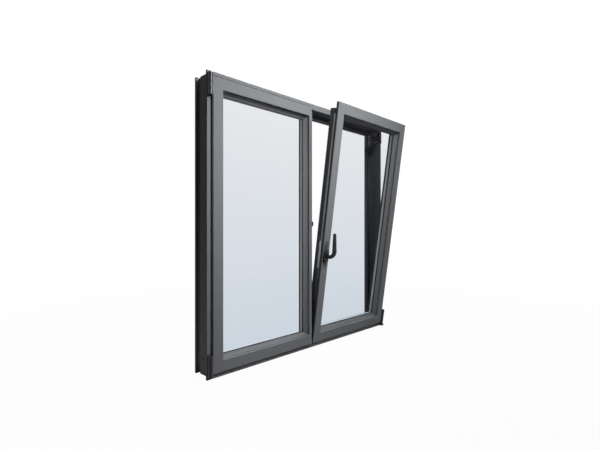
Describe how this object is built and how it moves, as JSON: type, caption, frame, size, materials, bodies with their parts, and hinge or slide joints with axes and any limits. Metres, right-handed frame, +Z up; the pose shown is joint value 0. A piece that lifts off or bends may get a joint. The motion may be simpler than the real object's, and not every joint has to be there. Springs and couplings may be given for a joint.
{
  "type": "tilt and turn window",
  "caption": "Aluminium tilt and turn window with side-by-side leaves and no fixed mullion, the handle leaf tilted into the room, double glazed.",
  "frame": {"origin": "middle of the width, on the underside of the sill's body between the room-side flange and the anchor groove, where the window stands on its packers", "axes": "+X to the right seen from the room, +Y from the room to the outside, +Z up"},
  "size_m": [1.1, 0.2525, 1.1],
  "materials": {
    "frame": "satin powder coat, anthracite grey",
    "leaf": "satin powder coat, anthracite grey",
    "bead": "satin powder coat, anthracite grey",
    "glass": "clear float glass",
    "rubber": "matt black rubber",
    "spacer": "mill finish with butyl seal",
    "hardware": "satin black",
    "steel": "zinc plated"
  },
  "bodies": {
    "window": {"frame_left_jamb": "frame", "frame_right_jamb": "frame", "frame_head": "frame", "frame_sill": "frame", "left_leaf_hinge_stile": "leaf", "left_leaf_top_rail": "leaf", "left_leaf_bottom_rail": "leaf", "left_leaf_meeting_stile": "leaf", "left_leaf_astragal": "leaf", "right_leaf_lock_stile": "leaf", "right_leaf_hinge_stile": "leaf", "right_leaf_top_rail": "leaf", "right_leaf_bottom_rail": "leaf", "left_leaf_left_bead": "bead", "left_leaf_right_bead": "bead", "left_leaf_top_bead": "bead", "left_leaf_bottom_bead": "bead", "right_leaf_left_bead": "bead", "right_leaf_right_bead": "bead", "right_leaf_top_bead": "bead", "right_leaf_bottom_bead": "bead", "left_leaf_inner_pane": "glass", "left_leaf_outer_pane": "glass", "right_leaf_inner_pane": "glass", "right_leaf_outer_pane": "glass", "frame_seal": "rubber", "left_leaf_seal": "rubber", "right_leaf_seal": "rubber", "left_leaf_inner_gasket": "rubber", "left_leaf_outer_gasket": "rubber", "right_leaf_inner_gasket": "rubber", "right_leaf_outer_gasket": "rubber", "left_leaf_spacer": "spacer", "right_leaf_spacer": "spacer", "left_upper_hinge": "hardware", "left_lower_hinge": "hardware", "right_lower_hinge": "hardware", "right_upper_bearing": "hardware", "lock_keeper": "hardware", "handle_rose": "hardware", "lock_rail": "steel", "lock_faceplate": "steel", "stay_arm": "steel"},
    "handle": {"handle_lever": "hardware"}
  },
  "joints": [
    {"name": "handle_turn", "type": "hinge", "parent": "window", "child": "handle", "pos_m": [0.0055, -0.11217, 0.40545], "axis": [0, 0.9898, 0.1426], "range_deg": [0, 180]}
  ]
}
